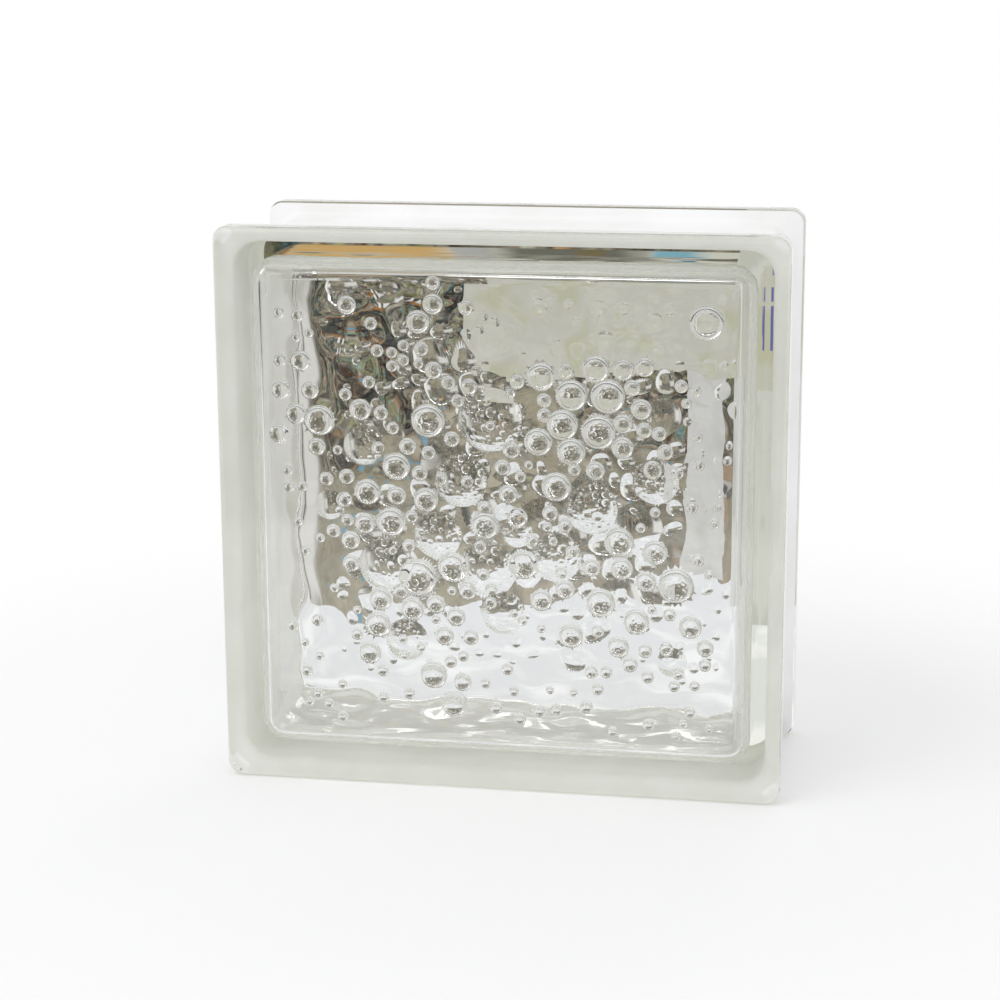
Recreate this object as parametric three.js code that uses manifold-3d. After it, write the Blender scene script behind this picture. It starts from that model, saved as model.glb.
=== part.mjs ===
// Hollow pressed-glass building block, millimetres, +Z up, front face towards -Y.
//
// Two like trays of glass are pressed in one mould and fused mouth to mouth. Each has a smooth
// outer face, a rim round it, and four walls set back from the rim. The inside of its face is
// pressed with a scatter of round bubbles, some standing proud as steep domes and some sunk as
// wide shallow dents. A white coating lines the mortar channel that the set-back walls leave.

import * as THREE from 'three';
import { mergeVertices } from 'three/addons/utils/BufferGeometryUtils.js';
import Module from 'manifold-3d';

// Overall size
const SIDE = 190;
const DEPTH = 80;

// Rim round each face
const RIM_THICKNESS = 8;
const RIM_CORNER = 5;
const ARRIS = 2.5;
const LIP = 0.8;

// Mortar channel in the four edges
const RECESS = 5.6;
const CHANNEL_DRAFT = THREE.MathUtils.degToRad(15);
const CHANNEL_ROOT = 3;
const CHANNEL_CORNER = 9;

// Ridge of squeezed glass where the two trays fuse
const SEAM_RIDGE_HALF_WIDTH = 2;
const SEAM_RIDGE_HEIGHT = 0.5;
const SEAM_GAP = 0.3;

// Hollow inside
const FACE_THICKNESS = 9;
const CAVITY_INSET = 11;
const CAVITY_FILLET = 5;
const CAVITY_CORNER = 8;
const CAVITY_DRAFT = THREE.MathUtils.degToRad(0.5);

// Bubbles pressed on the inside of the face: [across, up, width], from the middle of the face.
// The slope is the one that a bubble's round surface has where it meets the flat of the face.
const DOME_SLOPE = THREE.MathUtils.degToRad(60);
const TOP_DOMES = [
  [68, 66, 11], [32, 50, 8.5], [14, 47, 9], [24, 41, 10], [36, 41, 11], [47, 37, 6.5],
  [-47, 34, 7], [-61, 30, 10], [-24, 31, 11], [21, 31, 10], [33, 29, 11],
];
const MIDDLE_DOMES = [
  [13, 25, 9], [24, 22, 9], [-35, 15, 9], [19, 10, 9.5], [-45, 6, 8.5], [-25, 4, 8],
  [-37, -4, 9.5], [-5, -4, 9], [40, -8, 9.5], [52, -11, 8], [8, -17, 9.5], [41, -17, 7],
  [-16, -19, 10], [-28, -23, 12.5], [59, -22, 11.5], [34, -29, 9.5],
];
const BOTTOM_DOMES = [
  [-41, -31, 7.5], [-30, -34, 7.5], [46, -35, 8.5], [64, -36, 7.5], [-42, -40, 8.5], [24, -41, 8],
  [40, -44, 7], [-45, -50, 7.5], [-23, -57, 9], [-16, -67, 8.5],
];
const DENT_SLOPE = THREE.MathUtils.degToRad(30);
const DENTS = [
  [-3, 32, 21], [-46, 22, 13], [52, 13, 14.5], [-13, 11, 17], [31, 3, 16.5], [-58, 1, 9.5],
  [6, -6, 9.5], [-21, -8, 15.5], [19, -14, 16], [-39, -19, 17.5], [-4, -19, 18.5], [1, -34, 14.5],
  [-32, -45, 14], [58, -48.5, 9.5],
];

// Coating in the channel
const COATING_THICKNESS = 0.5;
const COATING_GAP = 0.3;
const COATING_EDGE_INSET = 0.6;

// Fineness of the rounds
const CORNER_STEPS = 4;
const ROUND_STEPS = 4;
const BUBBLE_SIDES = 12;
const BUBBLE_RINGS = 3;

const MIDDLE = DEPTH / 2;
const QUARTER = Math.PI / 2;
const GLASS_COLOUR = 0xd3d6cb;
const COATING_COLOUR = 0xededf0;

const wasm = await Module();
wasm.setup();

/**
 * One station of a profile: how far it lies behind the outer face, how far in from the outer
 * edge of the block, and the corner radius of the square that the profile is swept round there.
 */
function station(depth, inset, corner) {
  return { depth, inset, corner };
}

/** Stations on an arc about (depth, inset), where the angle 0 points to a smaller inset. */
function arc(depth, inset, radius, from, to, corner) {
  const stations = [];
  for (let step = 0; step <= ROUND_STEPS; step += 1) {
    const angle = THREE.MathUtils.lerp(from, to, step / ROUND_STEPS);
    const at = inset - radius * Math.cos(angle);
    stations.push(station(depth + radius * Math.sin(angle), at, corner(at)));
  }
  return stations;
}

/** Corner radius of the rim, whose rounds share one centre. */
function rimCorner(inset) {
  return RIM_CORNER - inset;
}

/** Corner radius in the channel, which opens from the rim's corner to the wall's rounder one. */
function channelCorner(inset) {
  return THREE.MathUtils.mapLinear(inset, 0, RECESS, RIM_CORNER, CHANNEL_CORNER);
}

/** Corner radius of the hollow, whose rounds share one centre. */
function cavityCorner(inset) {
  return CAVITY_CORNER - (inset - CAVITY_INSET);
}

/** Channel from the rim's lip to the seam, moved off the glass by an offset. */
function channelProfile(offset) {
  const turn = QUARTER - CHANNEL_DRAFT;
  const lipDepth = RIM_THICKNESS - LIP;
  const wallStart = lipDepth + LIP * Math.sin(turn);
  const wallDrop = RECESS - CHANNEL_ROOT + CHANNEL_ROOT * Math.cos(turn) - LIP + LIP * Math.cos(turn);
  const rootDepth = wallStart + wallDrop * Math.tan(CHANNEL_DRAFT) + CHANNEL_ROOT * Math.sin(turn);
  const rootInset = RECESS - CHANNEL_ROOT;
  const ridgeRadius = (SEAM_RIDGE_HEIGHT ** 2 + SEAM_RIDGE_HALF_WIDTH ** 2) / (2 * SEAM_RIDGE_HEIGHT);
  const ridgeTurn = Math.asin(SEAM_RIDGE_HALF_WIDTH / ridgeRadius);
  const ridgeInset = RECESS - SEAM_RIDGE_HEIGHT + ridgeRadius;
  return {
    lip: arc(lipDepth, LIP, LIP + offset, 0, turn, channelCorner),
    root: arc(rootDepth, rootInset, CHANNEL_ROOT - offset, turn - Math.PI, -Math.PI, channelCorner),
    ridge: arc(MIDDLE, ridgeInset, ridgeRadius + offset, -ridgeTurn, 0, channelCorner),
  };
}

/** Outside of one tray, from its face to its mouth. */
function trayProfile() {
  const { lip, root, ridge } = channelProfile(0);
  const arris = arc(ARRIS, ARRIS, ARRIS, -QUARTER, 0, rimCorner);
  const mouth = ridge.at(-1);
  const ridgeFlank = ridge.slice(0, -1);
  return [...arris, ...lip, ...root, ...ridgeFlank, { ...mouth, depth: MIDDLE - SEAM_GAP / 2 }];
}

/** Hollow of one tray, from the inside of its face to past its mouth. */
function cavityProfile() {
  const wallEnd = FACE_THICKNESS + CAVITY_FILLET;
  const fillet = arc(wallEnd, CAVITY_INSET + CAVITY_FILLET, CAVITY_FILLET, -QUARTER, 0, cavityCorner);
  const mouthInset = CAVITY_INSET - (MIDDLE - wallEnd) * Math.tan(CAVITY_DRAFT);
  return [...fillet, station(MIDDLE, mouthInset, cavityCorner(mouthInset))];
}

/** Coating's section as a closed loop: out along its free side, back along the side on the glass. */
function coatingProfile() {
  const side = (offset) => {
    const { lip, root, ridge } = channelProfile(offset);
    const top = lip.at(-1);
    const edgeDepth = THREE.MathUtils.mapLinear(
      COATING_EDGE_INSET, top.inset, root[0].inset, top.depth, root[0].depth,
    );
    const edge = station(edgeDepth, COATING_EDGE_INSET, channelCorner(COATING_EDGE_INSET));
    const front = [edge, ...root, ...ridge];
    const back = front.slice(0, -1).map((at) => ({ ...at, depth: DEPTH - at.depth })).reverse();
    return [...front, ...back];
  };
  const free = side(COATING_GAP + COATING_THICKNESS);
  const bonded = side(COATING_GAP);
  return [...free, ...bonded.reverse()];
}

/** Round-cornered square that a station is swept round, centred on the block's axis. */
function ringPoints({ depth, inset, corner }) {
  const reach = SIDE / 2 - inset - corner;
  const outline = new THREE.Shape();
  outline.absarc(reach, reach, corner, 0, QUARTER);
  outline.absarc(-reach, reach, corner, QUARTER, 2 * QUARTER);
  outline.absarc(-reach, -reach, corner, 2 * QUARTER, 3 * QUARTER);
  outline.absarc(reach, -reach, corner, 3 * QUARTER, 4 * QUARTER);
  return outline.getPoints(CORNER_STEPS).map(({ x, y }) => [x, depth - MIDDLE, y]);
}

/** Closed surface through the rings of a profile, either capped at both ends or joined end to end. */
function sweptSolid(profile, joined) {
  const rings = profile.map(ringPoints);
  const count = rings[0].length;
  const positions = rings.flat();
  const faces = [];
  const spans = joined ? rings.length : rings.length - 1;
  for (let span = 0; span < spans; span += 1) {
    const here = span * count;
    const there = ((span + 1) % rings.length) * count;
    for (let point = 0; point < count; point += 1) {
      const next = (point + 1) % count;
      faces.push([here + point, there + point, there + next], [here + point, there + next, here + next]);
    }
  }
  if (!joined) {
    const first = positions.push([0, profile[0].depth - MIDDLE, 0]) - 1;
    const last = positions.push([0, profile.at(-1).depth - MIDDLE, 0]) - 1;
    const end = (rings.length - 1) * count;
    for (let point = 0; point < count; point += 1) {
      const next = (point + 1) % count;
      faces.push([first, point, next], [last, end + next, end + point]);
    }
  }
  const geometry = new THREE.BufferGeometry();
  geometry.setAttribute('position', new THREE.Float32BufferAttribute(positions.flat(), 3));
  geometry.setIndex(faces.flat());
  return toManifold(geometry);
}

/** Solid for joining and cutting, from a closed geometry. */
function toManifold(geometry) {
  geometry.deleteAttribute('normal');
  geometry.deleteAttribute('uv');
  const merged = mergeVertices(geometry);
  return new wasm.Manifold(new wasm.Mesh({
    numProp: 3,
    vertProperties: new Float32Array(merged.attributes.position.array),
    triVerts: new Uint32Array(merged.index.array),
  }));
}

/** Named mesh of a solid, with the block's centre as its own origin. */
function toMesh(name, solid, material) {
  const { vertProperties, triVerts } = solid.getMesh();
  const geometry = new THREE.BufferGeometry();
  geometry.setAttribute('position', new THREE.BufferAttribute(vertProperties, 3));
  geometry.setIndex(new THREE.BufferAttribute(triVerts, 1));
  geometry.computeVertexNormals();
  const mesh = new THREE.Mesh(geometry, material);
  mesh.name = name;
  return mesh;
}

/** Ball that leaves a bubble of a width and edge slope on the inside of the face. */
function bubbleBall([across, up, width], slope, side) {
  const radius = width / 2 / Math.sin(slope);
  const bands = Math.round(BUBBLE_RINGS * Math.PI / slope);
  const ball = new THREE.SphereGeometry(radius, BUBBLE_SIDES, bands);
  ball.translate(across, FACE_THICKNESS - MIDDLE + side * radius * Math.cos(slope), up);
  return toManifold(ball);
}

/** Hollow of one tray, sunk at the dents and held back at the domes. */
function bubbledHollow() {
  const domes = [...TOP_DOMES, ...MIDDLE_DOMES, ...BOTTOM_DOMES];
  const smooth = sweptSolid(cavityProfile(), false);
  const sunk = DENTS.reduce((hollow, dent) => hollow.add(bubbleBall(dent, DENT_SLOPE, 1)), smooth);
  return domes.reduce((hollow, dome) => hollow.subtract(bubbleBall(dome, DOME_SLOPE, -1)), sunk);
}

/** One pressed tray, with its face towards -Y. */
function pressedTray() {
  return sweptSolid(trayProfile(), false).subtract(bubbledHollow());
}

const glass = new THREE.MeshStandardMaterial({
  color: GLASS_COLOUR,
  roughness: 0.05,
  metalness: 0,
  transparent: true,
  opacity: 0.35,
});
const coating = new THREE.MeshStandardMaterial({ color: COATING_COLOUR, roughness: 0.6, metalness: 0 });

const tray = pressedTray();
const frontHalf = toMesh('front_half', tray, glass);
const backHalf = toMesh('back_half', tray, glass);
backHalf.rotation.z = Math.PI;
const edgeCoating = toMesh('edge_coating', sweptSolid(coatingProfile(), true), coating);

const block = new THREE.Group();
block.name = 'glass_block';
block.add(frontHalf, backHalf, edgeCoating);
block.position.z = SIDE / 2;

export default block;
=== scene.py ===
"""Hollow pressed-glass building block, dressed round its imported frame.

Two like trays of clear glass are fused mouth to mouth into one hollow body. The inside of each
face is pressed with round bubbles, some standing proud as steep domes and some sunk as shallow
dents. A white coating lines the mortar channel in the four edges. Everything is in metres.
"""

import logging
import math
import random
from collections.abc import Callable
from dataclasses import dataclass, field
from enum import Enum

import bpy
import numpy as np
from mathutils import Matrix, Vector, geometry


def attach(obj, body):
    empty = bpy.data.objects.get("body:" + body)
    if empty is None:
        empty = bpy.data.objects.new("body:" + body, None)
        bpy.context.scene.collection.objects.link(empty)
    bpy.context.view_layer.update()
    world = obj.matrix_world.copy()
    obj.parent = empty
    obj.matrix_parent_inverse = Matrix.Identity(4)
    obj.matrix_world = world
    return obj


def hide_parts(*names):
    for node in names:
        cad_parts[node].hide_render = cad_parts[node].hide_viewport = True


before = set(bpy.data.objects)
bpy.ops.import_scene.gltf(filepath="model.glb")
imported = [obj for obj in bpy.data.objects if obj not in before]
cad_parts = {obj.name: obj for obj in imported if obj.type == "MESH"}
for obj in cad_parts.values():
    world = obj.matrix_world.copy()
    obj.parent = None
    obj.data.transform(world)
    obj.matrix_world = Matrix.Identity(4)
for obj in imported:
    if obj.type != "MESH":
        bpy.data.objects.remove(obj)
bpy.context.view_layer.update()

LOG = logging.getLogger("glass_block")

MM = 0.001
QUARTER = math.pi / 2
BODY = "root"
WELD_DIGITS = 6
WHITE = (1, 1, 1)

Triple = tuple[float, float, float]
Socket = bpy.types.NodeSocket
Feed = float | Triple | Socket
Ring = tuple[list[int], np.ndarray]


# ---- Meshes ----


class Skin:
    """Closed surface under construction: points, the way they face, and faces."""

    def __init__(self) -> None:
        """Start with nothing."""
        self.points: list[np.ndarray] = []
        self.outward: list[np.ndarray] = []
        self.faces: list[tuple[int, ...]] = []

    def add_points(self, points: np.ndarray, outward: np.ndarray) -> list[int]:
        """Add points and the way that the surface faces there.

        Args:
            points: One row for each point.
            outward: One unit row for each point, or zeros where Blender is to work it out.

        Returns:
            The new points' numbers.
        """
        first = len(self.points)
        self.points.extend(points)
        self.outward.extend(outward)
        return list(range(first, len(self.points)))

    def add_face(self, corners: tuple[int, ...], facing: Vector) -> None:
        """Add one face, wound so that its front looks the way that is asked.

        Args:
            corners: The numbers of its points, in order round it.
            facing: Roughly the way that it faces.
        """
        start = Vector(self.points[corners[0]])
        turn = Vector((0, 0, 0))
        for here, there in zip(corners[1:], corners[2:]):
            turn += (Vector(self.points[here]) - start).cross(Vector(self.points[there]) - start)
        self.faces.append(corners if turn.dot(facing) > 0 else corners[::-1])

    def bridge(self, near: list[int], far: list[int], facing: np.ndarray) -> None:
        """Join two rings of as many points by a band of four-sided faces.

        Args:
            near: The first ring's points.
            far: The second ring's points.
            facing: For each point of the rings, roughly the way that the band faces there.
        """
        for step, here in enumerate(near):
            after = (step + 1) % len(near)
            self.add_face((here, near[after], far[after], far[step]), Vector(facing[step]))

    def bridge_all(self, rings: list[Ring]) -> None:
        """Join rings in order.

        Args:
            rings: The points of each ring, and the way that the surface faces at them.
        """
        for (near, near_facing), (far, far_facing) in zip(rings, rings[1:]):
            self.bridge(near, far, near_facing + far_facing)

    def add_half_turn(self, seam: list[int]) -> None:
        """Add a copy turned by half a turn about Z, welded to the first along its seam.

        Args:
            seam: The points of the ring at the block's middle plane.
        """
        turn = np.array((-1.0, -1.0, 1.0))
        place = {tuple(np.round(self.points[at], WELD_DIGITS) + 0.0): at for at in seam}
        twin = {at: place[tuple(np.round(self.points[at] * turn, WELD_DIGITS) + 0.0)] for at in seam}
        count = len(self.points)
        for at in range(count):
            if at not in twin:
                twin[at] = len(self.points)
                self.points.append(self.points[at] * turn)
                self.outward.append(self.outward[at] * turn)
        self.faces.extend([tuple(twin[at] for at in face) for face in self.faces])


def add_object(name: str, data: bpy.types.ID) -> bpy.types.Object:
    """Make an object and link it to the scene.

    Args:
        name: Its name.
        data: Its mesh, lamp or camera.

    Returns:
        The object.
    """
    made = bpy.data.objects.new(name, data)
    bpy.context.scene.collection.objects.link(made)
    return made


def skins_to_piece(name: str, skins: list[Skin]) -> bpy.types.Object:
    """Make one object of closed skins.

    Args:
        name: The piece's name.
        skins: The surfaces, each closed and facing out of the material.

    Returns:
        The object, linked to the scene.
    """
    points: list[np.ndarray] = []
    outward: list[np.ndarray] = []
    faces: list[tuple[int, ...]] = []
    for skin in skins:
        first = len(points)
        points.extend(skin.points)
        outward.extend(skin.outward)
        faces.extend([tuple(at + first for at in face) for face in skin.faces])
    mesh = bpy.data.meshes.new(name)
    mesh.from_pydata([tuple(point) for point in points], [], faces)
    mesh.polygons.foreach_set("use_smooth", [True] * len(faces))
    mesh.normals_split_custom_set_from_vertices([tuple(way) for way in outward])
    return add_object(name, mesh)


def smooth_step(value: np.ndarray) -> np.ndarray:
    """Ease from 0 to 1 as the value goes from 0 to 1."""
    part = np.clip(value, 0.0, 1.0)
    return part * part * (3.0 - 2.0 * part)


# ---- Section of a tray ----


@dataclass(frozen=True)
class Station:
    """One step of a profile that is swept round the block.

    Attributes:
        depth: How far it lies behind the outer face.
        inset: How far it lies in from the outer edge.
        corner: Corner radius of the square that it is swept round.
        out_depth: Part of the outward direction that points away from the outer face.
        out_inset: Part of the outward direction that points in from the outer edge.
    """

    depth: float
    inset: float
    corner: float
    out_depth: float
    out_inset: float


@dataclass(frozen=True)
class TraySection:
    """Sizes of a pressed tray in section. Depths run back from its face, and insets in from its edge."""

    side: float = 190 * MM
    depth: float = 80 * MM
    rim_thickness: float = 8 * MM
    rim_corner: float = 5 * MM
    arris: float = 2.5 * MM
    lip: float = 0.8 * MM
    recess: float = 5.6 * MM
    channel_draft: float = math.radians(15)
    channel_root: float = 3 * MM
    channel_corner: float = 9 * MM
    ridge_half_width: float = 2 * MM
    ridge_height: float = 0.5 * MM
    face_thickness: float = 9 * MM
    cavity_inset: float = 11 * MM
    cavity_fillet: float = 7 * MM
    cavity_corner: float = 8 * MM
    cavity_draft: float = math.radians(0.5)
    corner_steps: int = 8
    round_steps: int = 8

    @property
    def middle(self) -> float:
        """Depth of the seam between the two trays."""
        return self.depth / 2

    def arc(self, centre: tuple[float, float], radius: float, span: tuple[float, float],
            corner: Callable[[float], float], hollow: bool = False) -> list[Station]:
        """Work out the stations on an arc.

        Args:
            centre: The arc's centre, as a depth and an inset.
            radius: The arc's radius.
            span: The first and last angle, where 0 points to a smaller inset.
            corner: Gives the corner radius at an inset.
            hollow: Whether the glass lies outside the arc.

        Returns:
            The stations in order.
        """
        depth, inset = centre
        side = -1.0 if hollow else 1.0
        stations = []
        for angle in np.linspace(*span, self.round_steps + 1):
            at = inset - radius * math.cos(angle)
            stations.append(Station(depth + radius * math.sin(angle), at, corner(at),
                                    side * math.sin(angle), -side * math.cos(angle)))
        return stations

    def rim_round(self, inset: float) -> float:
        """Corner radius of the rim, whose rounds share one centre."""
        return self.rim_corner - inset

    def channel_round(self, inset: float) -> float:
        """Corner radius in the channel, from the rim's to the wall's."""
        return self.rim_corner + (self.channel_corner - self.rim_corner) * inset / self.recess

    def cavity_round(self, inset: float) -> float:
        """Corner radius of the hollow, whose rounds share one centre."""
        return self.cavity_corner - (inset - self.cavity_inset)

    def channel(self, offset: float) -> tuple[list[Station], list[Station], list[Station]]:
        """Work out half of the mortar channel, from the rim's lip to the seam.

        Args:
            offset: How far the profile stands off the glass.

        Returns:
            The stations of the lip, of the root and of the seam's ridge.
        """
        turn = QUARTER - self.channel_draft
        wall_start = self.rim_thickness - self.lip + self.lip * math.sin(turn)
        drop = self.recess - self.channel_root - self.lip + (self.channel_root + self.lip) * math.cos(turn)
        root_depth = wall_start + drop * math.tan(self.channel_draft) + self.channel_root * math.sin(turn)
        ridge_radius = (self.ridge_height ** 2 + self.ridge_half_width ** 2) / (2 * self.ridge_height)
        ridge_turn = math.asin(self.ridge_half_width / ridge_radius)
        ridge_inset = self.recess - self.ridge_height + ridge_radius
        lip = self.arc((self.rim_thickness - self.lip, self.lip), self.lip + offset, (0, turn),
                       self.channel_round)
        root = self.arc((root_depth, self.recess - self.channel_root), self.channel_root - offset,
                        (turn - math.pi, -math.pi), self.channel_round, hollow=True)
        ridge = self.arc((self.middle, ridge_inset), ridge_radius + offset, (-ridge_turn, 0),
                         self.channel_round)
        return lip, root, ridge

    def outside(self) -> list[Station]:
        """Work out the outside of one tray.

        Returns:
            The stations, from its face to the seam.
        """
        lip, root, ridge = self.channel(0.0)
        arris = self.arc((self.arris, self.arris), self.arris, (-QUARTER, 0), self.rim_round)
        return [*arris, *lip, *root, *ridge]

    def inside(self, wall_steps: int) -> list[Station]:
        """Work out the hollow of one tray, from the inside of its face to the seam.

        Args:
            wall_steps: How many steps the straight wall is cut into.

        Returns:
            The stations in order.
        """
        wall_start = self.face_thickness + self.cavity_fillet
        fillet = self.arc((wall_start, self.cavity_inset + self.cavity_fillet), self.cavity_fillet,
                          (-QUARTER, 0), self.cavity_round, hollow=True)
        wall = []
        for step in range(1, wall_steps + 1):
            run = (self.middle - wall_start) * step / wall_steps
            inset = self.cavity_inset - run * math.tan(self.cavity_draft)
            wall.append(Station(wall_start + run, inset, self.cavity_round(inset), 0.0, 1.0))
        return [*fillet, *wall]

    def ring(self, station: Station, straight_steps: int = 1) -> tuple[np.ndarray, np.ndarray]:
        """Sweep a station round the block.

        Args:
            station: The station.
            straight_steps: How many steps each straight side is cut into.

        Returns:
            The ring's points and the way that the surface faces at each.
        """
        reach = self.side / 2 - station.inset - station.corner
        points, outward = [], []
        for quarter in range(4):
            middle = (quarter + 0.5) * QUARTER
            centre = reach * np.sign((math.cos(middle), math.sin(middle)))
            for step in range(self.corner_steps + 1):
                angle = (quarter + step / self.corner_steps) * QUARTER
                away = np.array((math.cos(angle), math.sin(angle)))
                points.append(centre + station.corner * away)
                outward.append(away)
            along = np.array((-outward[-1][1], outward[-1][0]))
            start, away = points[-1], outward[-1]
            for step in range(1, straight_steps):
                points.append(start + along * 2 * reach * step / straight_steps)
                outward.append(away)
        flat, away = np.array(points), np.array(outward)
        level = np.full(len(flat), station.depth - self.middle)
        placed = np.column_stack((flat[:, 0], level, flat[:, 1] + self.side / 2))
        facing = np.column_stack((-station.out_inset * away[:, 0], np.full(len(flat), station.out_depth),
                                  -station.out_inset * away[:, 1]))
        return placed, facing


# ---- Relief on the inside of the faces ----


class Press(Enum):
    """The ways that a bubble is pressed: its way up, its rim's slope in degrees, its root's round in mm."""

    DOME = (1, 60, 0.3)
    SWELL = (1, 34, 0.6)
    DENT = (-1, 30, 1.0)

    def __init__(self, way: int, degrees: float, root: float) -> None:
        """Take its measures.

        Args:
            way: 1 for a bubble that stands proud, -1 for a sunk one.
            degrees: Its rim's slope.
            root: The round at its root, in mm.
        """
        self.way = way
        self.slope = math.radians(degrees)
        self.root = root * MM


@dataclass(frozen=True)
class Bubble:
    """One round bubble on the inside of a face.

    Attributes:
        across: Place from the middle of the face, towards +X on the front tray.
        up: Place from the middle of the face, upwards.
        width: Width where its ball meets the flat.
        press: How it is pressed.
    """

    across: float
    up: float
    width: float
    press: Press

    FEWEST_SEGMENTS = 14
    FEWEST_BANDS = 2

    @property
    def reach(self) -> float:
        """How far it reaches from its middle, with the small round between its ball and the flat."""
        return self.width / 2 + self.press.root * math.sin(self.press.slope)

    @property
    def ball(self) -> float:
        """Radius of its ball."""
        return self.width / 2 / math.sin(self.press.slope)

    def distance(self, flat: np.ndarray) -> np.ndarray:
        """How far rows of across and up lie from its middle."""
        return np.hypot(flat[:, 0] - self.across, flat[:, 1] - self.up)

    def rise(self, flat: np.ndarray) -> np.ndarray:
        """Work out how far it lifts the surface.

        Args:
            flat: Rows of across and up.

        Returns:
            The lift at each row, negative in a dent and zero outside the bubble.
        """
        away = self.distance(flat)
        root, level = self.press.root, math.cos(self.press.slope)
        crown = np.sqrt(np.clip(self.ball ** 2 - away ** 2, 0, None)) - self.ball * level
        skirt = root - np.sqrt(np.clip(root ** 2 - (self.reach - away) ** 2, 0, None))
        proud = np.where(away < self.reach, skirt, 0.0)
        return np.where(away < self.width / 2, crown + root * (1 - level), proud) * self.press.way

    def mesh_points(self) -> np.ndarray:
        """Place points on rings that follow its curve evenly.

        Returns:
            The points, as rows of across and up.
        """
        segments = self.FEWEST_SEGMENTS + 2 * round(self.width / MM)
        bands = self.FEWEST_BANDS + round(self.width / (2 * MM))
        radii = [self.ball * math.sin(self.press.slope * band / bands) for band in range(1, bands + 1)]
        radii += [(self.width / 2 + self.reach) / 2, self.reach]
        rows = [(self.across, self.up)]
        for band, radius in enumerate(radii):
            for step in range(segments):
                angle = 2 * math.pi * (step + 0.5 * (band % 2)) / segments
                rows.append((self.across + radius * math.cos(angle), self.up + radius * math.sin(angle)))
        return np.array(rows)


class Ripple:
    """Gentle unevenness of pressed glass, as a sum of seeded plane waves."""

    def __init__(self, seed: int, waves: int, slope: float, lengths: tuple[float, float],
                 lean: Triple = (1.0, 1.0, 1.0)) -> None:
        """Draw the waves.

        Args:
            seed: Seed of the draw.
            waves: How many waves there are.
            slope: Steepest slope of each wave.
            lengths: Shortest and longest wave.
            lean: How strongly the waves run along X, Y and Z.
        """
        draw = random.Random(seed)
        self.numbers = np.zeros((waves, 3))
        self.heights = np.zeros(waves)
        self.phases = np.zeros(waves)
        for wave in range(waves):
            length = draw.uniform(*lengths)
            way = Vector([draw.gauss(0, part) for part in lean]).normalized()
            self.numbers[wave] = np.array(way) * 2 * math.pi / length
            self.heights[wave] = slope * length / (2 * math.pi)
            self.phases[wave] = draw.uniform(0, 2 * math.pi)

    def height(self, points: np.ndarray) -> np.ndarray:
        """Height of the ripple at rows of X, Y and Z."""
        return np.sin(points @ self.numbers.T + self.phases) @ self.heights


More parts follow.
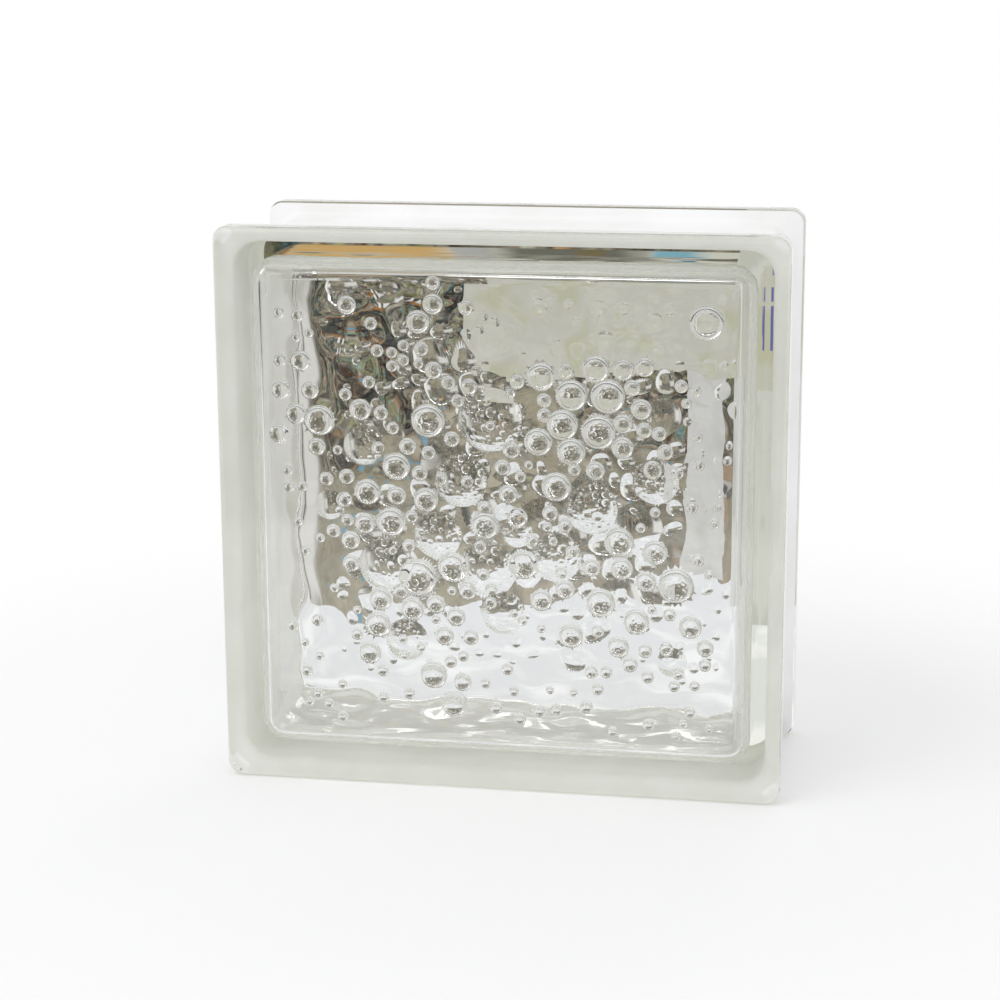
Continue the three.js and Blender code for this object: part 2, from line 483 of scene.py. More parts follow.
@dataclass
class PaneRelief:
    """Bubbled inside of one face.

    Attributes:
        half: Half the side of the flat that the relief fills.
        spacing: Spacing of the mesh's grid between bubbles.
        edge_share: Share of the spacing that the grid keeps clear of the edge.
        grid_gap: How far the grid keeps clear of a bubble.
        dome_gap: How far a dent's mesh keeps clear of a dome.
        edge_fade: Width over which the ripple dies out at the edge.
        small_count: How many of the smallest bubbles are scattered, clear of others by small_gap.
    """

    half: float
    spacing: float = 2.5 * MM
    edge_share: float = 0.4
    grid_gap: float = 0.4 * MM
    dome_gap: float = 0.2 * MM
    edge_fade: float = 8 * MM
    small_count: int = 90
    small_gap: float = 0.3 * MM
    small_seed: int = 5
    ripple: Ripple = field(
        default_factory=lambda: Ripple(seed=11, waves=14, slope=0.02, lengths=(9 * MM, 32 * MM)))
    bubbles: list[Bubble] = field(default_factory=list)

    DENTS = (
        (-3, 32, 21), (-46, 22, 13), (52, 13, 14.5), (-13, 11, 17), (31, 3, 16.5), (-58, 1, 9.5),
        (6, -6, 9.5), (-21, -8, 15.5), (19, -14, 16), (-39, -19, 17.5), (-4, -19, 18.5), (1, -34, 14.5),
        (-32, -45, 14), (58, -48.5, 9.5),
    )
    LARGE_DOMES = (
        (68, 66, 11), (32, 50, 8.5), (14, 47, 9), (24, 41, 10), (36, 41, 11), (47, 37, 6.5),
        (-47, 34, 7), (-61, 30, 10), (-24, 31, 11), (21, 31, 10), (33, 29, 11),
        (13, 25, 9), (24, 22, 9), (-35, 15, 9), (19, 10, 9.5), (-45, 6, 8.5), (-25, 4, 8),
        (-37, -4, 9.5), (-5, -4, 9), (40, -8, 9.5), (52, -11, 8), (8, -17, 9.5), (41, -17, 7),
        (-16, -19, 10), (-28, -23, 12.5), (59, -22, 11.5), (34, -29, 9.5),
        (-41, -31, 7.5), (-30, -34, 7.5), (46, -35, 8.5), (64, -36, 7.5), (-42, -40, 8.5), (24, -41, 8),
        (40, -44, 7), (-45, -50, 7.5), (-23, -57, 9), (-16, -67, 8.5),
    )
    MIDDLE_DOMES = (
        (-22, 77, 4.5), (-51, 69, 6), (-11, 69, 4.5), (-22, 70, 6.5), (-27, 64, 7.5), (-74, 66, 3.5),
        (-43, 63, 4), (-32, 56, 3.5), (-26, 55, 4.5), (-41, 54, 4), (-36, 53.5, 3.5), (-32, 51, 3.5),
        (-36, 49, 3.5), (-74, 50, 4), (-27, 50, 3), (48, 51, 6), (-67, 50, 6.5), (41, 50, 6.5),
        (22, 49, 4.5), (-22, 48, 5.5), (-17, 44, 4.5), (6, 45, 4.5), (44, 44, 5), (-10, 43, 5),
        (-64, 40, 5.5), (-74, 40, 6), (-52, 39, 4), (15, 39, 4.5), (-14, 38, 4), (15, 34, 4.5),
        (-40, 33, 4.5), (-69, 32, 6.5), (41, 32, 6), (48, 30, 5), (53, 29, 4.5), (-36, 28, 4),
        (-16, 25, 5), (-75, 25, 6.5), (41, 24, 7), (55, 23, 5), (-31, 22, 5.5), (4, 22, 5.5),
        (-62, 21, 5.5), (-24, 20, 4.5), (-55, 20, 3), (51, 17, 6), (1, 16, 5), (25, 16, 4), (32, 16, 6),
        (59, 16, 4), (-27, 13, 5), (7, 13, 3.5), (-52, 11, 5), (-59, 10, 4.5), (3, 7, 6), (-35, 5, 6),
        (-53, 3, 5), (-5, 2, 4.5), (17, 1, 5), (6, -1, 6.5), (-30, -2, 4), (22, -3, 4.5), (-52, -4, 4),
        (-46, -5, 6.5), (-57, -8, 4.5), (-51, -11, 6), (-31, -12, 4), (66, -13, 4), (31, -17, 5.5),
        (-51, -19, 5.5), (49, -21, 6.5), (22, -25, 6), (-11, -27, 5.5), (-34, -28, 5), (14, -29, 7),
        (-22, -32, 6), (57, -32, 4), (-15, -36, 6), (33, -39, 4), (-19, -43, 6), (-10, -43, 5),
        (69, -43, 5.5), (56, -44, 4.5), (49, -45, 4.5), (69, -49, 4), (44, -50, 5), (-17, -52, 4),
        (36, -53, 4), (50, -54, 4), (-13, -59, 6), (60, 45, 4),
    )
    SWELLS = (
        (13, 70, 6), (23, 71, 3), (33, 70, 5.5), (41, 70, 4), (51, 66, 6), (56, 70, 4), (35, 60, 5.5),
    )
    FAINT_FROM = (-10 * MM, 46 * MM)
    SMALL_WIDTHS = (2.4 * MM, 4.2 * MM)
    SLOPE_STEP = 0.01 * MM
    SAME_RISE = 1e-9
    INSIDE_EDGE = 1
    SAME_POINT = 1e-7

    def __post_init__(self) -> None:
        """Gather the placed bubbles and scatter the smallest ones between them."""
        for press, rows in ((Press.DENT, self.DENTS), (Press.DOME, self.LARGE_DOMES),
                            (Press.DOME, self.MIDDLE_DOMES), (Press.SWELL, self.SWELLS)):
            self.bubbles += [Bubble(across * MM, up * MM, width * MM, press) for across, up, width in rows]
        draw = random.Random(self.small_seed)
        domes = [bubble for bubble in self.bubbles if bubble.press.way > 0]
        wanted = len(domes) + self.small_count
        while len(domes) < wanted:
            width = draw.uniform(*self.SMALL_WIDTHS)
            limit = self.half - width
            across, up = draw.uniform(-limit, limit), draw.uniform(-limit, limit)
            faint = across > self.FAINT_FROM[0] and up > self.FAINT_FROM[1]
            small = Bubble(across, up, width, Press.SWELL if faint else Press.DOME)
            gaps = [math.hypot(small.across - other.across, small.up - other.up) - small.reach - other.reach
                    for other in domes]
            if min(gaps) > self.small_gap:
                domes.append(small)
                self.bubbles.append(small)

    def height(self, flat: np.ndarray) -> np.ndarray:
        """Work out the relief's height.

        Args:
            flat: Rows of across and up, from the middle of the face.

        Returns:
            How far the glass stands up into the hollow at each row.
        """
        place = np.column_stack((flat[:, 0], np.zeros(len(flat)), flat[:, 1]))
        edge = self.half - np.abs(flat).max(axis=1)
        wave = self.ripple.height(place) * smooth_step(edge / self.edge_fade)
        domes = np.zeros(len(flat))
        dents = np.zeros(len(flat))
        for bubble in self.bubbles:
            if bubble.press.way > 0:
                domes = np.maximum(domes, bubble.rise(flat))
            else:
                dents = np.minimum(dents, bubble.rise(flat))
        return wave + dents + domes

    def outward(self, flat: np.ndarray) -> np.ndarray:
        """Work out the way that the relief faces.

        Args:
            flat: Rows of across and up.

        Returns:
            One unit row for each.
        """
        step = self.SLOPE_STEP
        along = [self.height(flat + move) - self.height(flat - move) for move in step * np.eye(2)]
        facing = np.column_stack((-along[0] / (2 * step), np.ones(len(flat)), -along[1] / (2 * step)))
        return facing / np.linalg.norm(facing, axis=1)[:, None]

    def mesh_points(self) -> np.ndarray:
        """Choose the mesh's points: rings on every bubble, and a staggered grid between them.

        Returns:
            The points, as rows of across and up.
        """
        order = sorted(self.bubbles, key=lambda bubble: (-bubble.press.way, bubble.width))
        kept: list[np.ndarray] = []
        for bubble in order:
            rows = bubble.mesh_points()
            free = np.ones(len(rows), dtype=bool)
            own = bubble.rise(rows)
            for other in self.bubbles:
                apart = math.hypot(other.across - bubble.across, other.up - bubble.up)
                if other is bubble or apart > other.reach + bubble.reach:
                    continue
                if bubble.press.way == other.press.way:
                    free &= np.abs(other.rise(rows)) <= np.abs(own) + self.SAME_RISE
                elif other.press.way > 0:
                    free &= other.distance(rows) > other.reach + self.dome_gap
            kept.append(rows[free])
        count = int(2 * self.half / self.spacing)
        grid = []
        for row in range(1, count):
            for column in range(1, count):
                shift = 0.5 * (row % 2) - 0.25
                grid.append(((column + shift) * self.spacing - self.half, row * self.spacing - self.half))
        rows = np.array(grid)
        free = np.abs(rows).max(axis=1) < self.half - self.edge_share * self.spacing
        for bubble in self.bubbles:
            free &= bubble.distance(rows) > bubble.reach + self.grid_gap
        return np.vstack([*kept, rows[free]])

    def mesh(self, edge: np.ndarray) -> tuple[np.ndarray, list[tuple[int, ...]]]:
        """Fill the flat with triangles.

        Args:
            edge: The points round the flat, as rows of across and up.

        Returns:
            The points inside the edge, and the triangles. A triangle counts the edge's points first.
        """
        inner = self.mesh_points()
        rows = [Vector(row) for row in np.vstack((edge, inner))]
        ring = [list(range(len(edge)))]
        found = geometry.delaunay_2d_cdt(rows, [], ring, self.INSIDE_EDGE, self.SAME_POINT, True)
        places, triangles, sources = found[0], found[2], found[3]
        number = {at: source[0] for at, source in enumerate(sources)}
        assert len(places) == len({*number.values()}), "points of the relief fall together"
        return inner, [tuple(number[at] for at in triangle) for triangle in triangles]


# ---- Finishes ----


class Ray(Enum):
    """The kinds of ray that a finish tells apart, by their Light Path outputs."""

    CAMERA = "Is Camera Ray"
    GLOSSY = "Is Glossy Ray"
    TRANSMISSION = "Is Transmission Ray"


@dataclass(frozen=True)
class Cloud:
    """Noise that is coloured by a ramp: its scale, octaves and roughness, and the ramp's stops."""

    scale: float
    detail: float
    roughness: float
    stops: tuple[tuple[float, Triple], ...]


@dataclass(frozen=True)
class Grain:
    """Noise that gives a surface a fine relief: its scale and octaves, its strength and height."""

    scale: float
    detail: float
    strength: float
    height: float


class NodeDesk:
    """Node tree with short calls for what the finishes share."""

    def __init__(self, tree: bpy.types.NodeTree) -> None:
        """Take the tree."""
        self.tree = tree

    def node(self, kind: str, feeds: dict | None = None, **settings: object) -> bpy.types.Node:
        """Add a node.

        Args:
            kind: Its type, without the start that all shader nodes share.
            feeds: Outputs or values for its inputs. A colour has three numbers.
            settings: Its attributes.

        Returns:
            The node.
        """
        node = self.tree.nodes.new(f"ShaderNode{kind}")
        for name, value in settings.items():
            setattr(node, name, value)
        for socket, value in (feeds or {}).items():
            entry = node.inputs[socket]
            if isinstance(value, Socket):
                self.tree.links.new(value, entry)
            else:
                entry.default_value = (*value, 1) if entry.type == "RGBA" else value
        return node

    def place(self) -> Socket:
        """Give the place on the object."""
        return self.node("TexCoord").outputs["Object"]

    def math(self, operation: str, *values: Feed) -> Socket:
        """Work out a sum of one to three values."""
        return self.node("Math", dict(enumerate(values)), operation=operation).outputs["Value"]

    def seen_by(self, *rays: Ray) -> Socket:
        """Tell some kinds of ray from the others.

        Args:
            rays: The kinds.

        Returns:
            1 on rays of these kinds and 0 on others.
        """
        path = self.node("LightPath").outputs
        found = path[rays[0].value]
        for ray in rays[1:]:
            found = self.math("MAXIMUM", found, path[ray.value])
        return found

    def straight(self) -> Socket:
        """Give 1 where nothing matt lies between the camera and here, and 0 elsewhere."""
        return self.math("LESS_THAN", self.node("LightPath").outputs["Diffuse Depth"], 0.5)

    def ease(self, value: Feed, start: float, end: float) -> Socket:
        """Ease from 0 to 1 as a value goes from start to end."""
        feeds = {0: value, 1: start, 2: end}
        return self.node("MapRange", feeds, interpolation_type="SMOOTHSTEP").outputs["Result"]

    def mix_colour(self, share: Feed, first: Feed, second: Feed, blend: str = "MIX") -> Socket:
        """Mix a share of the second colour into the first."""
        return self.node("MixRGB", {0: share, 1: first, 2: second}, blend_type=blend).outputs["Color"]

    def mix_shader(self, share: Feed, first: Socket, second: Socket) -> Socket:
        """Mix a share of the second shader into the first."""
        return self.node("MixShader", {0: share, 1: first, 2: second}).outputs["Shader"]

    def glow(self, colour: Feed) -> Socket:
        """Shine evenly with a colour."""
        return self.node("Emission", {"Color": colour}).outputs["Emission"]

    def cloud(self, place: Socket, cloud: Cloud) -> Socket:
        """Colour a place or a direction by a cloud.

        Args:
            place: What is coloured.
            cloud: The cloud.

        Returns:
            The colour.
        """
        noise = self.node("TexNoise", {
            "Vector": place, "Scale": cloud.scale, "Detail": cloud.detail, "Roughness": cloud.roughness})
        ramp = self.node("ValToRGB", {"Fac": noise.outputs["Fac"]})
        while len(ramp.color_ramp.elements) < len(cloud.stops):
            ramp.color_ramp.elements.new(0.5)
        for element, (position, colour) in zip(ramp.color_ramp.elements, cloud.stops):
            element.position = position
            element.color = (*colour, 1)
        return ramp.outputs["Color"]

    def grain(self, place: Socket, grain: Grain) -> Socket:
        """Bend the way that a surface faces by a grain.

        Args:
            place: Where the surface is.
            grain: The grain.

        Returns:
            The way that it faces then.
        """
        noise = self.node("TexNoise", {"Vector": place, "Scale": grain.scale, "Detail": grain.detail})
        return self.node("Bump", {"Strength": grain.strength, "Distance": grain.height,
                                  "Height": noise.outputs["Fac"]}).outputs["Normal"]


def new_material(name: str) -> tuple[bpy.types.Material, NodeDesk]:
    """Make a material with an empty node tree.

    Args:
        name: The material's name.

    Returns:
        The material, and the desk that its nodes are laid out on.
    """
    material = bpy.data.materials.new(name)
    material.use_nodes = True
    material.node_tree.nodes.clear()
    return material, NodeDesk(material.node_tree)


@dataclass(frozen=True)
class PressedGlass:
    """Clear soda-lime glass with a faint green in its thickness and a faint waviness on its skin."""

    ior: float = 1.52
    roughness: float = 0.0
    tint: Triple = (0.91, 0.92, 0.83)
    tint_density: float = 12.0
    wave: Grain = Grain(scale=55.0, detail=1.0, strength=0.3, height=0.2 * MM)

    def material(self) -> bpy.types.Material:
        """Build the glass.

        Returns:
            The material.
        """
        material, desk = new_material("pressed_glass")
        surface = desk.node("BsdfPrincipled", {
            "Base Color": WHITE, "Roughness": self.roughness, "IOR": self.ior,
            "Transmission Weight": 1.0, "Normal": desk.grain(desk.place(), self.wave)})
        body = desk.node("VolumeAbsorption", {"Color": self.tint, "Density": self.tint_density})
        desk.node("OutputMaterial", {"Surface": surface.outputs["BSDF"], "Volume": body.outputs["Volume"]})
        return material


@dataclass(frozen=True)
class ChannelCoating:
    """White satin coating, thinner in places, brushed into the mortar channel."""

    cover: Cloud = Cloud(45.0, 4.0, 0.5, ((0.35, (0.89, 0.89, 0.88)), (0.65, (0.95, 0.95, 0.955))))
    roughness: float = 0.45
    grain: Grain = Grain(scale=900.0, detail=2.0, strength=0.15, height=0.1 * MM)

    def material(self) -> bpy.types.Material:
        """Build the coating.

        Returns:
            The material.
        """
        material, desk = new_material("edge_coating")
        place = desk.place()
        surface = desk.node("BsdfPrincipled", {
            "Base Color": desk.cloud(place, self.cover), "Roughness": self.roughness,
            "Normal": desk.grain(place, self.grain)})
        desk.node("OutputMaterial", {"Surface": surface.outputs["BSDF"]})
        return material


# ---- Pieces ----


@dataclass
class GlassBody:
    """Both trays, fused into one hollow body of glass.

    Attributes:
        wall_steps: How many steps the hollow's wall is cut into, from the fillet to the seam.
        straight_steps: How many steps each of its sides is cut into.
        wall_ripple: Bumps of the bottom wall.
        wall_fade: Depth over which they die out towards the fillet and the seam.
        wall_calm: Their strength on the other walls.
    """

    section: TraySection
    finish: PressedGlass = PressedGlass()
    wall_steps: int = 14
    straight_steps: int = 40
    wall_ripple: Ripple = field(default_factory=lambda: Ripple(
        seed=23, waves=22, slope=0.05, lengths=(4 * MM, 20 * MM), lean=(0.4, 1.0, 0.4)))
    wall_fade: float = 4 * MM
    wall_calm: float = 0.03

    def outer_skin(self) -> Skin:
        """Sweep the outside of one tray, cap its face and turn a copy for the other.

        Returns:
            The skin.
        """
        skin, rings = Skin(), []
        for station in self.section.outside():
            points, outward = self.section.ring(station)
            rings.append((skin.add_points(points, outward), outward))
        skin.bridge_all(rings)
        skin.add_face(tuple(rings[0][0]), Vector((0, -1, 0)))
        skin.add_half_turn(rings[-1][0])
        return skin

    def inner_skin(self) -> Skin:
        """Sweep the hollow of one tray, fill in its bubbled pane and turn a copy for the other.

        Returns:
            The skin.
        """
        section = self.section
        skin, rings = Skin(), []
        wall_start = section.face_thickness + section.cavity_fillet
        for station in section.inside(self.wall_steps):
            points, outward = section.ring(station, self.straight_steps)
            fade = smooth_step(np.array((station.depth - wall_start) / self.wall_fade))
            fade = fade * smooth_step(np.array((section.middle - station.depth) / self.wall_fade))
            strength = fade * np.maximum(self.wall_calm, np.clip(outward[:, 2], 0, 1) ** 2)
            points = points + outward * (self.wall_ripple.height(points) * strength)[:, None]
            rings.append((skin.add_points(points, np.zeros_like(outward)), outward))
        skin.bridge_all(rings)
        edge_numbers = rings[0][0]
        edge = np.array([skin.points[at] for at in edge_numbers])
        lift = np.array((0.0, section.side / 2))
        relief = PaneRelief(section.side / 2 - section.cavity_inset - section.cavity_fillet)
        flat, triangles = relief.mesh(edge[:, [0, 2]] - lift)
        level = edge[0][1] + relief.height(flat)
        points = np.column_stack((flat[:, 0], level, flat[:, 1] + section.side / 2))
        numbers = edge_numbers + skin.add_points(points, relief.outward(flat))
        for triangle in triangles:
            skin.add_face(tuple(numbers[at] for at in triangle), Vector((0, 1, 0)))
        skin.add_half_turn(rings[-1][0])
        return skin

    def build(self) -> bpy.types.Object:
        """Make the body, dress it and set it on the frame.

        Returns:
            The piece.
        """
        piece = skins_to_piece("glass_body", [self.outer_skin(), self.inner_skin()])
        piece.data.materials.append(self.finish.material())
        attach(piece, BODY)
        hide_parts("front_half", "back_half")
        return piece


@dataclass
class EdgeCoating:
    """White coating in the mortar channel, as one thin band round the block.

    Attributes:
        stand_off: How far its free side stands off the glass.
        bond: How far its other side sinks into the glass.
        edge_inset: How far its edge lies in from the rim's outline.
    """

    section: TraySection
    finish: ChannelCoating = ChannelCoating()
    stand_off: float = 0.8 * MM
    bond: float = 0.02 * MM
    edge_inset: float = 0.6 * MM
    sharp_from: float = math.radians(50)

    def side(self, offset: float) -> list[Station]:
        """Work out one side of the band, from rim to rim.

        Args:
            offset: How far over the glass the side lies.

        Returns:
            The stations in order, from the front rim's edge to the back rim's.
        """
        lip, root, ridge = self.section.channel(offset)
        top, foot = lip[-1], root[0]
        part = (self.edge_inset - top.inset) / (foot.inset - top.inset)
        edge = Station(top.depth + part * (foot.depth - top.depth), self.edge_inset,
                       self.section.rim_round(self.edge_inset), top.out_depth, top.out_inset)
        front = [edge, *root, *ridge]
        back = [Station(self.section.depth - station.depth, station.inset, station.corner,
                        -station.out_depth, station.out_inset) for station in reversed(front[:-1])]
        return front + back

    def build(self) -> bpy.types.Object:
        """Make the band, dress it and set it on the frame.

        Returns:
            The piece.
        """
        skin = Skin()
        free = [(station, 1.0) for station in self.side(self.stand_off)]
        bonded = [(station, -1.0) for station in reversed(self.side(-self.bond))]
        rings = []
        for station, way in free + bonded:
            points, outward = self.section.ring(station)
            rings.append((skin.add_points(points, np.zeros_like(outward)), outward * way))
        for at, (near, near_facing) in enumerate(rings):
            far, far_facing = rings[(at + 1) % len(rings)]
            facing = near_facing + far_facing
            if at in (len(free) - 1, len(rings) - 1):
                middle = np.array([skin.points[number] for number in near])
                facing = np.column_stack((np.zeros(len(near)), np.sign(middle[:, 1]), np.zeros(len(near))))
            skin.bridge(near, far, facing)
        piece = skins_to_piece("edge_coating_band", [skin])
        piece.data.set_sharp_from_angle(angle=self.sharp_from)
        piece.data.materials.append(self.finish.material())
        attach(piece, BODY)
        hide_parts("edge_coating")
        return piece


# ---- Stage ----


@dataclass(frozen=True)
class FloorFinish:
    """White floor that keeps the block's shadow. Rays through glass see a table with an edge, which glows
    in patches of painted light and shade.

    Attributes:
        colour: Its matt white near the block.
        white_from: How far out it starts to turn pure white, as it is from white_to.
        table: The table's glow seen through glass, in patches of painted light and shade.
        edge_behind: How far behind the block's middle the table ends.
        edge_turn: How much further behind its edge lies for each metre to the right.
        dark_from: How far in front it starts to dim, for mirrored rays and those through glass.
        dark_over: Over how far it dims.
    """

    colour: Triple = (0.95, 0.95, 0.96)
    white_from: float = 0.14
    white_to: float = 0.36
    table: Cloud = Cloud(28.0, 2.0, 0.5, ((0.47, (0.77, 0.785, 0.81)), (0.62, (0.94, 0.95, 0.965))))
    edge_behind: float = 0.22
    edge_turn: float = 0.5
    dark_from: float = 0.37
    dark_over: float = 0.05
    dim: Triple = (0.08, 0.08, 0.08)

    def material(self) -> bpy.types.Material:
        """Build the floor's finish.

        Returns:
            The material.
        """
        material, desk = new_material("floor")
        place = desk.place()
        parts = desk.node("SeparateXYZ", {0: place}).outputs
        away = desk.node("VectorMath", {0: place}, operation="LENGTH").outputs["Value"]
        beyond_glass = desk.seen_by(Ray.TRANSMISSION)
        through = desk.math("MULTIPLY", desk.straight(), beyond_glass)

        far = desk.ease(away, self.white_from, self.white_to)
        bare = desk.math("MULTIPLY", far, desk.seen_by(Ray.CAMERA, Ray.GLOSSY, Ray.TRANSMISSION))
        matt = desk.node("BsdfDiffuse", {"Color": self.colour}).outputs["BSDF"]
        ground = desk.mix_shader(bare, matt, desk.glow(WHITE))
        # Rays through glass see the table as a glow that is not lit. Straight ones see patches of painted
        # light and shade, and others see its plain white.
        table = desk.mix_colour(through, self.colour, desk.cloud(place, self.table))
        ground = desk.mix_shader(beyond_glass, ground, desk.glow(table))

        before = desk.ease(parts["Y"], -self.dark_from, -self.dark_from - self.dark_over)
        bent = desk.math("MULTIPLY", desk.straight(), desk.seen_by(Ray.GLOSSY, Ray.TRANSMISSION))
        ground = desk.mix_shader(desk.math("MULTIPLY", before, bent), ground, desk.glow(self.dim))

        edge = desk.math("MULTIPLY_ADD", parts["X"], self.edge_turn, self.edge_behind)
        cut = desk.math("MULTIPLY", desk.math("GREATER_THAN", parts["Y"], edge), through)
        clear = desk.node("BsdfTransparent").outputs["BSDF"]
        desk.node("OutputMaterial", {"Surface": desk.mix_shader(cut, ground, clear)})
        return material


@dataclass(frozen=True)
class RoomThing:
    """One soft-edged thing far behind the block: its middle and full size in degrees, and its colour.

    The turn counts from straight behind towards +X, and the height from level.
    """

    turn: float
    height: float
    width: float
    tall: float
    colour: Triple


@dataclass(frozen=True)
class RoomZone:
    """One soft-edged box of directions, in degrees: its middle, half its size and half its edge's width."""

    middle: tuple[float, float]
    half: tuple[float, float]
    soft: float


class Gaze:
    """Direction in which the world is seen, as nodes."""

    def __init__(self, desk: NodeDesk) -> None:
        """Work out its turn from straight behind and its height above level, both in degrees.

        Args:
            desk: Where its nodes are laid out.
        """
        self.desk = desk
        self.way = desk.node("TexCoord").outputs["Generated"]
        parts = desk.node("SeparateXYZ", {0: self.way}).outputs
        self.turn = desk.math("DEGREES", desk.math("ARCTAN2", parts["X"], parts["Y"]))
        self.height = desk.math("DEGREES", desk.math("ARCSINE", parts["Z"]))

    def inside(self, zone: RoomZone) -> Socket:
        """Give 1 where the direction lies inside a zone and 0 elsewhere.

        Args:
            zone: The zone.

        Returns:
            The mask.
        """
        masks = []
        for value, middle, half in zip((self.turn, self.height), zone.middle, zone.half):
            away = self.desk.math("ABSOLUTE", self.desk.math("SUBTRACT", value, middle))
            masks.append(self.desk.ease(away, half + zone.soft, half - zone.soft))
        return self.desk.math("MULTIPLY", *masks)

    def on(self, thing: RoomThing, edge: float) -> Socket:
        """Give 1 where the direction meets a thing and 0 elsewhere.

        Args:
            thing: The thing.
            edge: Half the width of its soft edge, as a share of its own half width and height.

        Returns:
            The mask.
        """
        reaches = []
        for value, middle, full in ((self.turn, thing.turn, thing.width),
                                    (self.height, thing.height, thing.tall)):
            away = self.desk.math("DIVIDE", self.desk.math("SUBTRACT", value, middle), full / 2)
            reaches.append(self.desk.math("ABSOLUTE", away))
        return self.desk.ease(self.desk.math("MAXIMUM", *reaches), 1.0 + edge, 1.0 - edge)


@dataclass(frozen=True)
class Room:
    """Dim room behind the block, which only rays through glass see. Other rays see white.

    Attributes:
        things: What stands and hangs in it. Their edges are soft over a share of their size.
        around: Zone of the whole room, in large patches of gloom. The wall lies outside it.
        near: Zone of its middle, with blurred odds and ends over the carpet.
        carpet_heights: Degrees above level between which the carpet sets in.
        dull: Level of the light that matt things get straight.
        through: Level of the light that they get through glass, which leans with the direction.
    """

    things: tuple[RoomThing, ...] = tuple(RoomThing(*row) for row in (
        # A pale window, with its frame and what stands before it
        (-8, 7.3, 16, 5, (0.62, 0.61, 0.56)), (-16.3, 7.3, 1.4, 5, (0.22, 0.12, 0.04)),
        (-13.5, 7.3, 4.2, 5, (0.6, 0.38, 0.15)), (-10.85, 7.3, 0.9, 5, (0.42, 0.42, 0.44)),
        (-8.6, 7.3, 3.2, 5, (0.14, 0.14, 0.12)), (-8.15, 7.3, 0.7, 3, (0.17, 0.13, 0.06)),
        (-6.2, 7.3, 1.2, 3.4, (0.2, 0.42, 0.55)), (-5.9, 8.2, 0.6, 1, (0.05, 0.12, 0.2)),
        # Small things low down
        (-10.5, -12.2, 2.4, 1.4, (0.44, 0.4, 0.3)), (-13.4, -10.5, 0.8, 0.9, (0.05, 0.055, 0.05)),
        (-4.5, -10.9, 2, 1.3, (0.09, 0.085, 0.085)), (-4.5, -12.2, 2, 0.9, (0.46, 0.43, 0.41)),
        (-4.5, -13.9, 2, 2.4, (0.38, 0.28, 0.19)), (-12.9, -9.3, 0.9, 0.5, (0.34, 0.17, 0.05)),
        (-12.75, -8.7, 0.25, 0.9, (0.8, 0.8, 0.8)), (-12.3, -8.7, 0.2, 0.9, (0.75, 0.75, 0.75)),
        (-8.5, -14, 3, 1.5, (0.4, 0.35, 0.26)), (-7.6, -13.3, 0.6, 0.5, (0.12, 0.3, 0.42)),
        (-12.2, -12.6, 0.6, 0.4, (0.16, 0.35, 0.47)), (-11.6, -11.3, 0.35, 0.35, (0.16, 0.35, 0.5)),
        (-13.8, -14.6, 0.5, 0.6, (0.12, 0.3, 0.42)),
        # Large pale things at the sides
        (8, -12, 10, 9.5, (0.76, 0.75, 0.72)), (-38, -12, 28, 10, (0.7, 0.69, 0.66)),
        (37, -4, 48, 60, (0.97, 0.97, 0.94)),
        # Ceiling lights
        (-22, 27, 6, 4, (5, 5, 5)), (-9, 28, 7, 4, (5, 5, 5)), (4, 26, 4, 4, (5, 5, 5)),
    ))
    edge: float = 0.35
    around: RoomZone = RoomZone((-12.0, -12.0), (46.0, 37.0), 3.0)
    wall: Triple = (0.66, 0.655, 0.635)
    gloom: Cloud = Cloud(7.0, 3.0, 0.6, (
        (0.38, (0.03, 0.03, 0.025)), (0.47, (0.13, 0.12, 0.10)), (0.54, (0.30, 0.28, 0.24)),
        (0.60, (0.37, 0.36, 0.34)), (0.68, (0.58, 0.58, 0.57))))
    near: RoomZone = RoomZone((-10.0, -14.0), (12.5, 24.0), 3.0)
    odds: Cloud = Cloud(80.0, 4.0, 0.66, (
        (0.32, (0.01, 0.01, 0.01)), (0.43, (0.06, 0.055, 0.05)), (0.50, (0.19, 0.18, 0.16)),
        (0.57, (0.32, 0.30, 0.245)), (0.69, (0.58, 0.57, 0.53))))
    odds_tint: Cloud = Cloud(58.0, 3.0, 0.6, (
        (0.36, (0.66, 0.40, 0.22)), (0.44, (0.5, 0.49, 0.46)), (0.52, (0.5, 0.5, 0.5)),
        (0.58, (0.50, 0.50, 0.24)), (0.65, (0.24, 0.52, 0.68))))
    odds_tint_share: float = 0.9
    gloom_share: float = 0.4
    carpet: Triple = (0.46, 0.42, 0.31)
    carpet_heights: tuple[float, float] = (-11.0, -14.5)
    carpet_share: float = 0.72
    dull: float = 0.88
    through: float = 1.0
    through_lean: Triple = (0.24, 0.0, -0.18)

    def clutter(self, gaze: Gaze) -> Socket:
        """Colour the room's middle: blurred odds and ends over a beige carpet.

        Args:
            gaze: The direction.

        Returns:
            The colour.
        """
        desk = gaze.desk
        odds, tint = desk.cloud(gaze.way, self.odds), desk.cloud(gaze.way, self.odds_tint)
        odds = desk.mix_colour(self.odds_tint_share, odds, tint, "OVERLAY")
        low = desk.ease(gaze.height, *self.carpet_heights)
        return desk.mix_colour(desk.math("MULTIPLY", low, self.carpet_share), odds, self.carpet)

